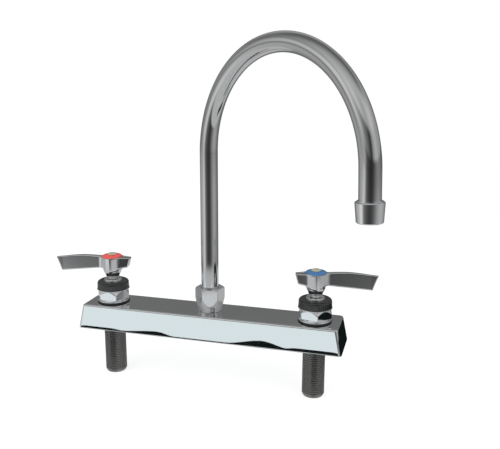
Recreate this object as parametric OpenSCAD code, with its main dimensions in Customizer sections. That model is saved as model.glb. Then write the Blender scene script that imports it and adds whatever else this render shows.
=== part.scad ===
// Deck-mount faucet: two-valve body on 8 in centres with a swinging gooseneck spout.
// Millimetres, +Z up. The origin is on the underside of the body, below the spout.
// +X runs along the body towards the cold valve, and -Y faces the user.

/* [Body] */
// Length of the body along its underside
body_l = 260; // [250:1:300]
// Width of the body along its underside
body_w = 45; // [44:0.5:60]
// Height of the body above the deck
body_h = 24; // [23:0.5:32]
// How much each end leans in from underside to top
end_draft = 4.6; // [1:0.2:8]
// How much each long side leans in from underside to top
side_draft = 2; // [0.5:0.1:3]
// Radius of the body's upright corners
body_corner_r = 3; // [2:0.5:6]
// Radius of the rounded edge round the top
top_edge_r = 1.6; // [0.6:0.2:2.4]
// Radius of the rolled edge round the underside
foot_edge_r = 0.8; // [0.4:0.2:1.6]
// Thickness of the cast walls and top
body_wall = 3.2; // [2.4:0.2:5]
// Thickness of metal left round each well
boss_wall = 3.2; // [2.6:0.2:4]

/* [Waterways] */
// Distance between the two valve axes
valve_centres = 203.2; // [190:0.2:206]
// Bore of the passage that joins the valves to the spout
gallery_d = 6; // [4:0.5:7]
// Height of that passage above the deck
gallery_z = 6.5; // [6:0.25:7]
// Bore of the inlet port in each valve floor
port_d = 10.4; // [7:0.2:11]
// Metal left between a shank's socket and its valve floor
floor_web = 1.6; // [1:0.1:2.4]

/* [Supply shanks] */
// Major diameter of the pipe thread
shank_d = 21.1; // [20:0.1:21.4]
// Length below the deck
shank_l = 49.5; // [40:0.5:70]
// Bore for the water
shank_bore_d = 13; // [10:0.5:14]
// Pitch of the pipe thread
thread_pitch = 1.814; // [1.4:0.1:2.4]
// Depth of the pipe thread
thread_depth = 1.1; // [0.5:0.1:1.4]
// Plain neck left above the thread
neck_l = 4; // [2:0.5:10]
// Chamfer on the free end
shank_chamfer = 2.2; // [1:0.2:3]
// Diameter of the spigot brazed into the body
spigot_d = 19; // [17:0.2:19.6]
// Length of that spigot
spigot_l = 7.2; // [6:0.2:8]

/* [Valve cartridges] */
// Bore of the well that holds a valve
well_d = 24; // [22.6:0.1:25]
// Outside diameter of the cartridge barrel
cartridge_d = 19; // [18.6:0.1:19.2]
// Outside diameter of the ceramic discs
disc_d = 17; // [15.6:0.1:17.2]
// Thickness of each ceramic disc
disc_t = 2.4; // [1.8:0.1:2.6]
// Thickness of the seat seal under the discs
seal_t = 2; // [1.4:0.1:2.2]
// Diameter of the turning stem
stem_d = 10; // [9.4:0.1:10.4]
// Thickness of the stem's foot
foot_t = 3.2; // [2.4:0.1:3.6]
// Section of the O-rings
oring_d = 1.4; // [1:0.1:1.6]

/* [Bonnets] */
// Outside diameter of the black gasket under each bonnet
base_gasket_d = 31.6; // [29:0.2:34]
// Height of that gasket
base_gasket_h = 1.4; // [1:0.2:4]
// Outside diameter of the plated ring on each gasket
base_ring_d = 31.2; // [29:0.2:34]
// Height of that ring
base_ring_h = 2.6; // [1:0.2:3]
// Bonnet hexagon, across its corners
hex_d = 33; // [31:0.2:35]
// Height of the hexagon with its rim
hex_h = 9.6; // [7:0.2:14]
// Height of the round rim on top of the hexagon
hex_rim_h = 1; // [0.6:0.1:2]
// How far the bonnet's thread reaches into the body
bonnet_thread_l = 7; // [6:0.2:8]
// Turn of the hot bonnet's hexagon
hot_hex_turn = -56; // [-60:1:60]
// Turn of the cold bonnet's hexagon
cold_hex_turn = -73; // [-80:1:60]
// Outside diameter of the black cap
cap_d = 30.8; // [29.6:0.2:34]
// Height of the black cap
cap_h = 7.7; // [6:0.1:12]
// Radius of the cap's upper edge
cap_edge_r = 2.6; // [1:0.2:3.4]
// Outside diameter of the lock ring on top of the cap
lock_ring_d = 17.4; // [16.6:0.2:20]
// Height of the lock ring
lock_ring_h = 1; // [0.6:0.1:2]

/* [Lever handles] */
// Diameter of the neck below the hub
lever_neck_d = 11.6; // [11:0.2:12.4]
// Height of that neck
lever_neck_h = 2.4; // [2:0.2:6]
// Height of the cone between neck and hub
hub_cone_h = 4.5; // [3:0.5:9]
// Diameter of the hub
hub_d = 19; // [17:0.2:22]
// Height of the whole handle from neck to top
lever_h = 22.2; // [19:0.2:28]
// Reach of the blade from the valve axis
blade_l = 57; // [45:1:80]
// Height of the blade beside the hub
blade_root_h = 9.8; // [7:0.2:12]
// Height of the blade at its tip
blade_tip_h = 13.6; // [9:0.2:16]
// How far the tip leans out from its lower to its upper corner
blade_tip_lean = 4.6; // [0:0.2:8]
// How much the top edge of the blade crowns above the hub
blade_crown = 1.8; // [0:0.1:2.4]
// Thickness of the blade's outer part
blade_t = 3; // [2.4:0.1:5]
// Distance from the axis at which the wedge ends
wedge_l = 37; // [30:1:50]
// Reach of the short tail opposite the blade
tail_l = 19; // [14:0.5:24]
// Height of the tail
tail_h = 9.6; // [7:0.2:12]
// Width of the tail
tail_w = 7; // [6:0.5:14]
// Turn of the hot lever from the line of the body
hot_lever_turn = 10; // [-30:1:30]
// Turn of the cold lever from the line of the body
cold_lever_turn = 12; // [-30:1:30]
// Number of serrations between stem and handle, an even number
spline_teeth = 20; // [16:2:24]
// Depth of the serrations
spline_depth = 0.5; // [0.3:0.05:0.6]
// Diameter of the hot and cold index rings
index_d = 19.4; // [17:0.2:21]
// Thickness of the index rings
index_t = 2.6; // [1:0.1:3]
// Head diameter of the handle screw
screw_head_d = 9.4; // [7:0.2:11]
// Height of the screw's domed head
screw_head_h = 1.5; // [1:0.1:2.5]
// Thread diameter of the handle screw
screw_d = 4.2; // [3:0.1:5]
// Length of the handle screw below its head
screw_l = 16; // [12:0.5:18]

/* [Spout] */
// Outside diameter of the tube
tube_d = 16.5; // [15.6:0.1:17]
// Wall of the tube
tube_wall = 1.2; // [0.8:0.1:1.6]
// Height at which the bend starts
riser_h = 175; // [120:1:260]
// Radius of the bend, at the tube's centre line
bend_r = 93.6; // [60:0.2:140]
// Angle of the bend
bend_angle = 177.5; // [150:0.5:180]
// Straight length between the bend and the aerator
leg_l = 22.5; // [16:0.5:60]
// Swing of the spout from straight ahead towards the cold side
spout_swing = 55.6; // [0:0.2:90]

/* [Spout joint] */
// Bore of the spout's well in the body
spout_well_d = 20.4; // [19.8:0.1:20.8]
// Height of the ledge that the swivel bush stands on
ledge_z = 9.8; // [9.6:0.1:10.4]
// Height of the swivel bush
bush_h = 6.4; // [5:0.1:6.8]
// Thickness of the glide ring above the bush
glide_t = 1; // [0.6:0.1:1.4]
// Spout nut, across its corners
nut_d = 28.4; // [25.4:0.2:32]
// Diameter of the spout nut at its foot
nut_foot_d = 21.2; // [20.8:0.1:23]
// Height of the spout nut
nut_h = 23; // [16:0.5:30]
// Height of the nut's tapered foot
nut_taper_h = 13.5; // [4:0.5:14]
// Turn of the spout nut's hexagon
nut_turn = 18; // [-30:1:30]
// Width of the wrench notch in the nut's foot
notch_w = 3.8; // [2:0.2:5]
// Height of the wrench notch
notch_h = 5.6; // [2:0.2:7]

/* [Aerator] */
// Outside diameter of the shell at its top
aerator_d = 21.8; // [21.2:0.1:24]
// Outside diameter of the shell at its outlet
aerator_tip_d = 19.8; // [19.4:0.1:21]
// Length of the shell
aerator_l = 15.4; // [14:0.2:20]
// Length of the threaded collar inside the shell
collar_l = 8; // [6:0.2:9]
// Thickness of the rubber washer
washer_t = 1; // [0.6:0.1:1.6]
// Holes across the flow straightener and the screen
screen_across = 7; // [5:2:9]

/* [Fits] */
// Radial clearance of parts that turn in each other
running_gap = 0.06; // [0.03:0.01:0.08]
// Radial clearance of parts that are screwed or pressed together
fixed_gap = 0.05; // [0.03:0.01:0.08]
// End play of the turning parts
end_gap = 0.2; // [0.1:0.05:0.25]

/* [Hidden] */

$fn = 72;
hull_fn = 32;
// Overshoot of a cut past the face that it opens
cut = 1;
hot = -1;
cold = 1;
valve_x = valve_centres / 2;

// Heights of the valve stack, from the shank's socket upwards
seat_z = spigot_l + end_gap + floor_web;
fixed_disc_z = seat_z + seal_t;
moving_disc_z = fixed_disc_z + disc_t + 0.02;
foot_z = moving_disc_z + disc_t;
chamber_top_z = foot_z + foot_t + end_gap;
bonnet_foot_z = body_h - bonnet_thread_l;
base_ring_z = body_h + base_gasket_h;
hex_z = base_ring_z + base_ring_h;
cap_z = hex_z + hex_h;
lock_ring_z = cap_z + cap_h;
barrel_top_z = lock_ring_z + lock_ring_h;
lever_z = barrel_top_z + 3 * end_gap;
lever_top_z = lever_z + lever_h;
screw_head_z = lever_top_z + index_t;

// Radii of the valve stack
well_r = well_d / 2;
boss_r = well_r + boss_wall;
shank_r = shank_d / 2;
shank_root_r = shank_r - thread_depth;
spigot_r = spigot_d / 2;
barrel_r = cartridge_d / 2;
neck_r = barrel_r - 2.1;
chamber_r = disc_d / 2 + running_gap;
skirt_r = chamber_r + 1.2;
flange_r = well_r - 1;
flange_t = 2;
stem_r = stem_d / 2;
spline_r = stem_r - 0.6;
seal_bore_r = port_d / 2 + 0.2;
cap_cavity_r = cap_d / 2 - 2.3;
cap_top_t = 2.7;
recess_r = lever_neck_d / 2 + 0.4;
recess_h = 1.6;

// Thread on the shanks
thread_turns = floor((shank_l - neck_l - shank_chamfer) / thread_pitch);
thread_land = thread_pitch / 8;
thread_flank = (thread_pitch - 2 * thread_land) / 2;

// Passage between a valve and the gallery
drop_x = valve_x - well_r - gallery_d / 2 - 0.6;
stub_z = seat_z + gallery_d / 2 + 0.6;
gallery_wall = 2.4;

// Spout joint
tube_r = tube_d / 2;
tube_bore_r = tube_r - tube_wall;
spout_well_r = spout_well_d / 2;
spout_boss_r = spout_well_r + boss_wall;
chamber_below_r = spout_well_r - 1.6;
spout_floor_z = gallery_z - gallery_d / 2 - 0.5;
bush_z = ledge_z + running_gap;
bush_r = spout_well_r - running_gap;
bush_lip = 0.7;
glide_z = bush_z + bush_h + end_gap;
nut_sleeve_z = glide_z + glide_t;
nut_land = 5;
sleeve_r = spout_well_r - fixed_gap;

// Aerator, measured down from the shell's top edge along the outlet's own axis
tube_in_shell = 4;
collar_shoulder = 0.6;
collar_r = tube_r + 1.15;
shell_thread_r = collar_r + fixed_gap;
shell_seat_r = collar_r - 0.55;
shell_lip_r = shell_seat_r - 1.2;
shell_lip_t = 1.6;
screen_t = 0.5;
washer_down = collar_l + 0.05;
insert_down = washer_down + washer_t;
screen_down = aerator_l - shell_lip_t - screen_t;
insert_l = screen_down - insert_down;

// Points of a quarter circle in the profile plane, from the outside to the top
function quarter(cx, cz, r, steps = 6) =
    [for (i = [0:steps]) [cx + r * cos(90 * i / steps), cz + r * sin(90 * i / steps)]];

// Points of a curve that leaves a towards b and arrives at c
function curve(a, b, c, steps = 8) =
    [for (i = [0:steps]) let (t = i / steps)
        (1 - t) * (1 - t) * a + 2 * t * (1 - t) * b + t * t * c];

module ring(outer_r, inner_r, z, h) {
    translate([0, 0, z])
        difference() {
            cylinder(r = outer_r, h = h);
            translate([0, 0, -cut])
                cylinder(r = inner_r, h = h + 2 * cut);
        }
}

// A round length, used as a solid or as the tool that cuts a hole
module rod(r, z, h) {
    translate([0, 0, z])
        cylinder(r = r, h = h);
}

module at_valve(side) {
    translate([side * valve_x, 0, 0])
        children();
}

// The O-ring and the groove it lies in share one centre line
module oring(centre_r, z) {
    translate([0, 0, z])
        rotate_extrude()
            translate([centre_r, 0])
                circle(d = oring_d, $fn = 32);
}

module oring_groove(centre_r, z) {
    ring(centre_r + oring_d, centre_r - oring_d / 2 - 0.02, z - oring_d / 2 - 0.1, oring_d + 0.2);
}

// A disc with its upper edge rounded over
module edged_disc(r, edge, h) {
    rotate_extrude($fn = hull_fn)
        polygon(concat([[0, 0], [r, 0]], quarter(r - edge, h - edge, edge), [[0, h]]));
}

module at_corners(l, w, r) {
    for (sx = [-1, 1], sy = [-1, 1])
        translate([sx * (l / 2 - r), sy * (w / 2 - r), 0])
            children();
}

// The casting's outer form: wider at the foot than at the top
module body_block() {
    top_l = body_l - 2 * end_draft;
    top_w = body_w - 2 * side_draft;
    hull() {
        at_corners(body_l, body_w, body_corner_r)
            mirror([0, 0, 1])
                translate([0, 0, -2 * foot_edge_r])
                    edged_disc(body_corner_r, foot_edge_r, 2 * foot_edge_r);
        translate([0, 0, body_h - 2 * top_edge_r])
            at_corners(top_l, top_w, body_corner_r)
                edged_disc(body_corner_r, top_edge_r, 2 * top_edge_r);
    }
}

// The hollow under the casting, open at the deck
module body_core() {
    foot_in = 2 * body_wall;
    core_h = body_h - body_wall;
    hull() {
        translate([0, 0, -cut])
            at_corners(body_l - foot_in, body_w - foot_in, 1)
                cylinder(r = 1, h = cut, $fn = hull_fn);
        translate([0, 0, core_h - 1])
            at_corners(body_l - 2 * end_draft - foot_in, body_w - 2 * side_draft - foot_in, 1)
                cylinder(r = 1, h = 1, $fn = hull_fn);
    }
}

module valve_well(side) {
    at_valve(side) {
        rod(well_r, seat_z, body_h);
        rod(port_d / 2, 0, body_h);
        rod(spigot_r + fixed_gap, -cut, spigot_l + end_gap + cut);
        rod(shank_r + 0.1, -cut, cut + 1);
    }
    translate([side * drop_x, 0, gallery_z])
        cylinder(d = gallery_d, h = stub_z - gallery_z);
    translate([side * drop_x, 0, stub_z])
        rotate([0, side * 90, 0])
            cylinder(d = gallery_d, h = valve_x - drop_x);
    translate([side * drop_x, 0, stub_z])
        sphere(d = gallery_d);
    translate([side * drop_x, 0, gallery_z])
        sphere(d = gallery_d);
}

module spout_well() {
    rod(spout_well_r, ledge_z, body_h);
    rod(chamber_below_r, spout_floor_z, body_h);
}

module faucet_body() {
    bar_w = gallery_d + 2 * gallery_wall;
    color("gainsboro")
        difference() {
            body_block();
            difference() {
                body_core();
                for (side = [hot, cold])
                    at_valve(side)
                        rod(boss_r, -2 * cut, body_h);
                rod(spout_boss_r, -2 * cut, body_h);
                translate([-valve_x, -bar_w / 2, -2 * cut])
                    cube([2 * valve_x, bar_w, body_h]);
            }
            for (side = [hot, cold])
                valve_well(side);
            spout_well();
            translate([-drop_x, 0, gallery_z])
                rotate([0, 90, 0])
                    cylinder(d = gallery_d, h = 2 * drop_x);
        }
}

// One turn of thread: a flat crest, two flanks and a flat root
function thread_turn(z) = [
    [shank_r, z],
    [shank_r, z + thread_land],
    [shank_root_r, z + thread_land + thread_flank],
    [shank_root_r, z + 2 * thread_land + thread_flank],
];

module supply_shank() {
    bore_r = shank_bore_d / 2;
    thread_z = -shank_l + shank_chamfer;
    outline = concat(
        [[bore_r + 1, -shank_l], [shank_r - shank_chamfer / 2, -shank_l]],
        [for (i = [0:thread_turns - 1], p = thread_turn(thread_z + i * thread_pitch)) p],
        [[shank_r, thread_z + thread_turns * thread_pitch], [shank_r, 0]],
        [[shank_r - 0.3, 0], [shank_r - 0.3, 0.9], [spigot_r, 0.9], [spigot_r, spigot_l]],
        [[bore_r, spigot_l], [bore_r, -shank_l + 1]]
    );
    rotate_extrude()
        polygon(outline);
}

module hot_shank() {
    color("dimgray")
        at_valve(hot)
            supply_shank();
}

module cold_shank() {
    color("dimgray")
        at_valve(cold)
            supply_shank();
}

module seat_seal() {
    ring(chamber_r - 0.3, seal_bore_r, seat_z, seal_t);
}

module hot_seat_seal() {
    color("black")
        at_valve(hot)
            seat_seal();
}

module cold_seat_seal() {
    color("black")
        at_valve(cold)
            seat_seal();
}

// Two round ports, open only when the disc above is turned over them
module fixed_disc() {
    difference() {
        rod(disc_d / 2, fixed_disc_z, disc_t);
        for (s = [-1, 1])
            translate([s * disc_d * 0.27, 0, 0])
                rod(disc_d * 0.15, fixed_disc_z - cut, disc_t + 2 * cut);
    }
}

module hot_fixed_disc() {
    color("white")
        at_valve(hot)
            fixed_disc();
}

module cold_fixed_disc() {
    color("white")
        at_valve(cold)
            fixed_disc();
}

module drive_lugs(play) {
    for (s = [-1, 1])
        translate([s * disc_d * 0.37, 0, foot_z])
            cube([disc_d * 0.16 + 2 * play, 4 + 2 * play, 2.4 + 2 * play], center = true);
}

// Two gates that open to the rim, and two slots for the stem's lugs
module moving_disc() {
    difference() {
        rod(disc_d / 2 - 0.1, moving_disc_z, disc_t);
        for (s = [-1, 1])
            translate([-disc_d * 0.15, s * disc_d * 0.45 - disc_d * 0.3, moving_disc_z - cut])
                cube([disc_d * 0.3, disc_d * 0.6, disc_t / 2 + cut]);
        drive_lugs(0.1);
    }
}

module hot_moving_disc() {
    color("white")
        at_valve(hot)
            moving_disc();
}

module cold_moving_disc() {
    color("white")
        at_valve(cold)
            moving_disc();
}

module cartridge() {
    difference() {
        union() {
            rod(skirt_r, seat_z + 0.3, bonnet_foot_z - seat_z - 0.3);
            rod(flange_r, bonnet_foot_z - flange_t, flange_t);
            rod(barrel_r, bonnet_foot_z - cut, cap_z - bonnet_foot_z + cut);
            rod(neck_r, cap_z - cut, barrel_top_z - cap_z + cut);
        }
        rod(chamber_r, seat_z - cut, chamber_top_z - seat_z + cut);
        rod(stem_r + running_gap, seat_z, barrel_top_z);
        rod(recess_r, barrel_top_z - recess_h, recess_h + cut);
        oring_groove(barrel_r - oring_d / 2 + 0.02, hex_z + hex_h / 2);
        for (turn = [0, 90])
            translate([0, 0, stub_z])
                rotate([90, 0, turn])
                    cylinder(d = 3.6, h = 2 * well_r, center = true);
    }
}

module hot_cartridge() {
    color("goldenrod")
        at_valve(hot)
            cartridge();
}

module cold_cartridge() {
    color("goldenrod")
        at_valve(cold)
            cartridge();
}

module cartridge_oring() {
    oring(barrel_r - oring_d / 2 + 0.02, hex_z + hex_h / 2);
}

module hot_cartridge_oring() {
    color("black")
        at_valve(hot)
            cartridge_oring();
}

module cold_cartridge_oring() {
    color("black")
        at_valve(cold)
            cartridge_oring();
}

// The serrated end of the stem, and the broached socket in the handle
module spline(r, z, h) {
    translate([0, 0, z])
        linear_extrude(h)
            polygon([for (i = [0:2 * spline_teeth - 1])
                let (a = 180 * i / spline_teeth, pr = i % 2 == 0 ? r : r - spline_depth)
                    [pr * cos(a), pr * sin(a)]]);
}

function stem_oring_z() = [hex_z + 2, hex_z + 6];

module stem(turn) {
    difference() {
        union() {
            rod(chamber_r - 0.2, foot_z, foot_t);
            drive_lugs(0);
            rod(stem_r, foot_z, lever_z - foot_z);
            rotate([0, 0, turn])
                spline(spline_r, lever_z - cut, screw_l + cut - 2);
        }
        rod(screw_d / 2 + fixed_gap, screw_head_z - screw_l - 1, screw_l + cut);
        for (z = stem_oring_z())
            oring_groove(stem_r - oring_d / 2, z);
    }
}

module hot_stem() {
    color("goldenrod")
        at_valve(hot)
            stem(hot_lever_turn);
}

module cold_stem() {
    color("goldenrod")
        at_valve(cold)
            stem(cold_lever_turn);
}

module stem_orings() {
    for (z = stem_oring_z())
        oring(stem_r - oring_d / 2, z);
}

module hot_stem_orings() {
    color("black")
        at_valve(hot)
            stem_orings();
}

module cold_stem_orings() {
    color("black")
        at_valve(cold)
            stem_orings();
}

// A flat ring with its upper outer edge rounded over
module rolled_ring(r, bore_r, edge, z, h) {
    translate([0, 0, z])
        rotate_extrude()
            polygon(concat(
                [[bore_r, 0], [r, 0]],
                quarter(r - edge, h - edge, edge),
                [[bore_r, h]]
            ));
}

module base_gasket() {
    rolled_ring(base_gasket_d / 2, well_r + 0.3, 0.8, body_h, base_gasket_h);
}

module hot_base_gasket() {
    color("black")
        at_valve(hot)
            base_gasket();
}

module cold_base_gasket() {
    color("black")
        at_valve(cold)
            base_gasket();
}

module base_ring() {
    rolled_ring(base_ring_d / 2, well_r + 0.3, 0.6, base_ring_z, base_ring_h);
}

module hot_base_ring() {
    color("silver")
        at_valve(hot)
            base_ring();
}

module cold_base_ring() {
    color("silver")
        at_valve(cold)
            base_ring();
}

// A hexagon with its corners turned off top and bottom
module hexagon(corner_r, face_r, z, h) {
    slope = corner_r - face_r;
    intersection() {
        translate([0, 0, z])
            cylinder(r = corner_r, h = h, $fn = 6);
        translate([0, 0, z])
            rotate_extrude()
                polygon([
                    [0, 0],
                    [corner_r - slope / 2, 0],
                    [corner_r + 0.1, slope * 0.6],
                    [corner_r + 0.1, h - slope * 1.3],
                    [face_r, h],
                    [0, h],
                ]);
    }
}

module bonnet(turn) {
    difference() {
        union() {
            rotate([0, 0, turn])
                hexagon(hex_d / 2, hex_d * 0.42, hex_z, hex_h - hex_rim_h);
            rod(hex_d / 2 - 0.6, cap_z - hex_rim_h, hex_rim_h);
            rod(well_r - fixed_gap, bonnet_foot_z, hex_z - bonnet_foot_z + cut);
            rod(cap_cavity_r - 0.1, cap_z - cut, cap_h - cap_top_t + cut - 0.1);
        }
        rod(barrel_r + fixed_gap, bonnet_foot_z - cut, cap_z + cap_h);
        oring_groove(well_r - oring_d / 2 - 0.06, body_h - 3);
    }
}

module hot_bonnet() {
    color("silver")
        at_valve(hot)
            bonnet(hot_hex_turn);
}

module cold_bonnet() {
    color("silver")
        at_valve(cold)
            bonnet(cold_hex_turn);
}

module bonnet_oring() {
    oring(well_r - oring_d / 2 - 0.06, body_h - 3);
}

module hot_bonnet_oring() {
    color("black")
        at_valve(hot)
            bonnet_oring();
}

module cold_bonnet_oring() {
    color("black")
        at_valve(cold)
            bonnet_oring();
}

module bonnet_cap() {
    r = cap_d / 2;
    difference() {
        translate([0, 0, cap_z])
            rotate_extrude()
                polygon(concat(
                    [[0, 0], [r, 0]],
                    quarter(r - cap_edge_r, cap_h - cap_edge_r, cap_edge_r),
                    [[0, cap_h]]
                ));
        rod(cap_cavity_r, cap_z - cut, cap_h - cap_top_t + cut);
        rod(neck_r + fixed_gap, cap_z - cut, cap_h + 2 * cut);
    }
}

module hot_bonnet_cap() {
    color("#2a2a2a")
        at_valve(hot)
            bonnet_cap();
}

module cold_bonnet_cap() {
    color("#2a2a2a")
        at_valve(cold)
            bonnet_cap();
}

module lock_ring() {
    rolled_ring(lock_ring_d / 2, neck_r + fixed_gap, 0.5, lock_ring_z, lock_ring_h);
}

module hot_lock_ring() {
    color("silver")
        at_valve(hot)
            lock_ring();
}

module cold_lock_ring() {
    color("silver")
        at_valve(cold)
            lock_ring();
}

module hub() {
    r = hub_d / 2;
    translate([0, 0, lever_z])
        rotate_extrude()
            polygon(concat(
                [[0, 0], [lever_neck_d / 2, 0], [lever_neck_d / 2, lever_neck_h]],
                [[r - 0.3, lever_neck_h + hub_cone_h]],
                quarter(r - 0.5, lever_h - 0.5, 0.5),
                [[0, lever_h]]
            ));
}

// Side view of the blade, out along +X
module blade_side() {
    top_z = lever_top_z;
    tip_top = [blade_l - 0.8, top_z - 1.5];
    tip_foot = [blade_l - blade_tip_lean, top_z - 1.5 - blade_tip_h];
    root_foot = [0, top_z - blade_root_h];
    crown = [blade_l * 0.62, top_z + 2 * blade_crown];
    polygon(concat(
        [root_foot, tip_foot, tip_top + [0.8, -1.4], tip_top + [0.7, -0.4]],
        curve(tip_top, crown, [hub_d / 4, top_z]),
        [[0, top_z]]
    ));
}

// Plan of the blade: as wide as the hub at its root, drawn in to a thin plate
module blade_plan() {
    r = hub_d / 2;
    half = blade_t / 2;
    edge = curve([0, r], [wedge_l * 0.35, r * 0.35], [wedge_l, half], 10);
    tip = [[blade_l - 1, half], [blade_l + 1, half * 0.6]];
    mirrored = [for (p = concat(edge, tip)) [p.x, -p.y]];
    polygon(concat(edge, tip, [for (i = [len(mirrored) - 1:-1:0]) mirrored[i]]));
}

// Side view of the tail, out along -X, with its lower corner rounded
module tail_side() {
    top_z = lever_top_z - 0.4;
    corner = 2.4;
    polygon(concat(
        [[0, top_z - tail_h - 4], [0, top_z], [-tail_l + 0.6, top_z], [-tail_l, top_z - 0.8]],
        [for (i = [0:6]) let (a = 180 + 15 * i)
            [-tail_l + 0.5 + corner * (1 + cos(a)), top_z - tail_h + corner * (1 + sin(a))]]
    ));
}

module tail_plan() {
    root = hub_d / 2 - 0.6;
    end = tail_w / 2;
    polygon([[0, -root], [0, root], [-tail_l + 1, end], [-tail_l - 1, end - 1],
        [-tail_l - 1, 1 - end], [-tail_l + 1, -end]]);
}

module lever(turn) {
    socket_h = screw_l - 2 + 0.2;
    rotate([0, 0, turn])
        difference() {
            union() {
                hub();
                intersection() {
                    rotate([90, 0, 0])
                        linear_extrude(2 * hub_d, center = true)
                            blade_side();
                    translate([0, 0, lever_z])
                        linear_extrude(2 * lever_h)
                            blade_plan();
                }
                intersection() {
                    rotate([90, 0, 0])
                        linear_extrude(2 * hub_d, center = true)
                            tail_side();
                    translate([0, 0, lever_z])
                        linear_extrude(2 * lever_h)
                            tail_plan();
                }
            }
            spline(spline_r + fixed_gap, lever_z - cut, socket_h + cut);
            rod(screw_d / 2 + 0.3, lever_z, lever_h + 2 * cut);
            translate([0, 0, lever_top_z])
                cylinder(r = index_d / 2 + 0.1, h = 2 * index_t);
        }
}

module hot_lever() {
    color("lightgray")
        at_valve(hot)
            rotate([0, 0, hot_lever_turn])
                mirror([1, 0, 0])
                    lever(0);
}

module cold_lever() {
    color("lightgray")
        at_valve(cold)
            lever(cold_lever_turn);
}

module index_ring() {
    r = index_d / 2;
    bore_r = screw_d / 2 + 0.4;
    translate([0, 0, lever_top_z])
        rotate_extrude()
            polygon([
                [bore_r, 0],
                [r, 0],
                [r, index_t * 0.45],
                [r - 0.6, index_t * 0.65],
                [screw_head_d / 2 + 0.2, index_t],
                [bore_r, index_t],
            ]);
}

module hot_index_ring() {
    color("#de5550")
        at_valve(hot)
            index_ring();
}

module cold_index_ring() {
    color("#416ea5")
        at_valve(cold)
            index_ring();
}

module lever_screw() {
    r = screw_head_d / 2;
    slot_w = 1.1;
    difference() {
        union() {
            translate([0, 0, screw_head_z])
                rotate_extrude()
                    polygon(concat(
                        [[0, 0], [r, 0]],
                        curve([r, screw_head_h * 0.4], [r * 0.8, screw_head_h], [0, screw_head_h], 6)
                    ));
            rod(screw_d / 2, screw_head_z - screw_l, screw_l + cut / 2);
        }
        for (turn = [0, 90])
            rotate([0, 0, turn])
                translate([-r * 0.55, -slot_w / 2, screw_head_z + screw_head_h * 0.3])
                    cube([r * 1.1, slot_w, screw_head_h]);
    }
}

module hot_lever_screw() {
    color("#bebea0")
        at_valve(hot)
            lever_screw();
}

module cold_lever_screw() {
    color("#bebea0")
        at_valve(cold)
            lever_screw();
}

function bush_oring_z() = [bush_z + 1.9, bush_z + bush_h - 1.9];

module spout_bush() {
    color("goldenrod")
        difference() {
            rod(bush_r, bush_z, bush_h);
            rod(tube_r + 0.02, bush_z + bush_lip, bush_h);
            rod(tube_bore_r, bush_z - cut, bush_h);
            for (z = bush_oring_z())
                oring_groove(bush_r - oring_d / 2, z);
        }
}

module spout_bush_orings() {
    color("black")
        for (z = bush_oring_z())
            oring(bush_r - oring_d / 2, z);
}

module spout_glide_ring() {
    color("ivory")
        ring(sleeve_r, tube_r + 0.15, glide_z, glide_t);
}

module spout_nut() {
    corner_r = nut_d / 2;
    foot_r = nut_foot_d / 2;
    top_z = body_h + nut_h;
    land_r = tube_r + running_gap;
    color("silver")
        difference() {
            union() {
                rotate([0, 0, nut_turn])
                    intersection() {
                        translate([0, 0, body_h])
                            cylinder(r = corner_r, h = nut_h, $fn = 6);
                        translate([0, 0, body_h])
                            rotate_extrude()
                                polygon([
                                    [0, 0],
                                    [foot_r, 0],
                                    [corner_r + 0.1, nut_taper_h],
                                    [corner_r + 0.1, nut_h - 2],
                                    [corner_r - 1.8, nut_h],
                                    [0, nut_h],
                                ]);
                    }
                rod(sleeve_r, nut_sleeve_z, body_h - nut_sleeve_z + cut);
            }
            rod(land_r, nut_sleeve_z - cut, body_h + nut_h);
            rod(tube_r + 0.9, nut_sleeve_z + nut_land, top_z - nut_sleeve_z - 2 * nut_land);
            rotate([0, 0, nut_turn + 12])
                translate([-notch_w / 2, -foot_r - 2, body_h])
                    cube([notch_w, 3.2, notch_h]);
        }
}

// The plane of the spout: +X out along its reach
module in_spout_plane() {
    rotate([0, 0, spout_swing - 90])
        children();
}

// The tube's run as a solid rod. Bending draws a tube in a little, and the straight lengths lap over that.
module tube_rod(r, overshoot) {
    draw = 0.1;
    lap = 0.5;
    tube_foot_z = bush_z + bush_lip;
    rod(r, tube_foot_z - overshoot, riser_h - tube_foot_z + overshoot + lap);
    translate([bend_r, 0, riser_h])
        rotate([90, 0, 0])
            rotate([0, 0, 180 - bend_angle])
                rotate_extrude(angle = bend_angle)
                    translate([bend_r, 0])
                        circle(r = r - draw);
    at_bend_end()
        rod(r, -lap, leg_l + tube_in_shell + overshoot + lap);
}

module spout_tube() {
    color("silver")
        in_spout_plane()
            difference() {
                tube_rod(tube_r, 0);
                tube_rod(tube_bore_r, cut);
            }
}

// The end of the bend, with +Z down along the flow
module at_bend_end() {
    lean = 180 - bend_angle;
    translate([bend_r + bend_r * cos(lean), 0, riser_h + bend_r * sin(lean)])
        rotate([0, 180 - lean, 0])
            children();
}

// The shell's top edge, with +Z down along the flow
module at_outlet() {
    in_spout_plane()
        at_bend_end()
            translate([0, 0, leg_l])
                children();
}

module outlet_collar() {
    color("goldenrod")
        at_outlet()
            difference() {
                rod(collar_r, -collar_shoulder, collar_l + collar_shoulder);
                rod(tube_r + 0.02, -collar_shoulder - cut, collar_shoulder + tube_in_shell + cut);
                rod(tube_bore_r, -cut, collar_l + 2 * cut);
            }
}

module aerator_shell() {
    r = aerator_d / 2;
    tip_r = aerator_tip_d / 2;
    color("silver")
        at_outlet()
            difference() {
                rotate_extrude()
                    polygon([
                        [0, 0],
                        [r - 0.6, 0],
                        [r, 0.6],
                        [tip_r, aerator_l - 0.6],
                        [tip_r - 0.6, aerator_l],
                        [0, aerator_l],
                    ]);
                rod(shell_thread_r, -cut, collar_l + 0.05 + cut);
                rod(shell_seat_r, 0, aerator_l - shell_lip_t);
                rod(shell_lip_r, 0, aerator_l + cut);
            }
}

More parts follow.
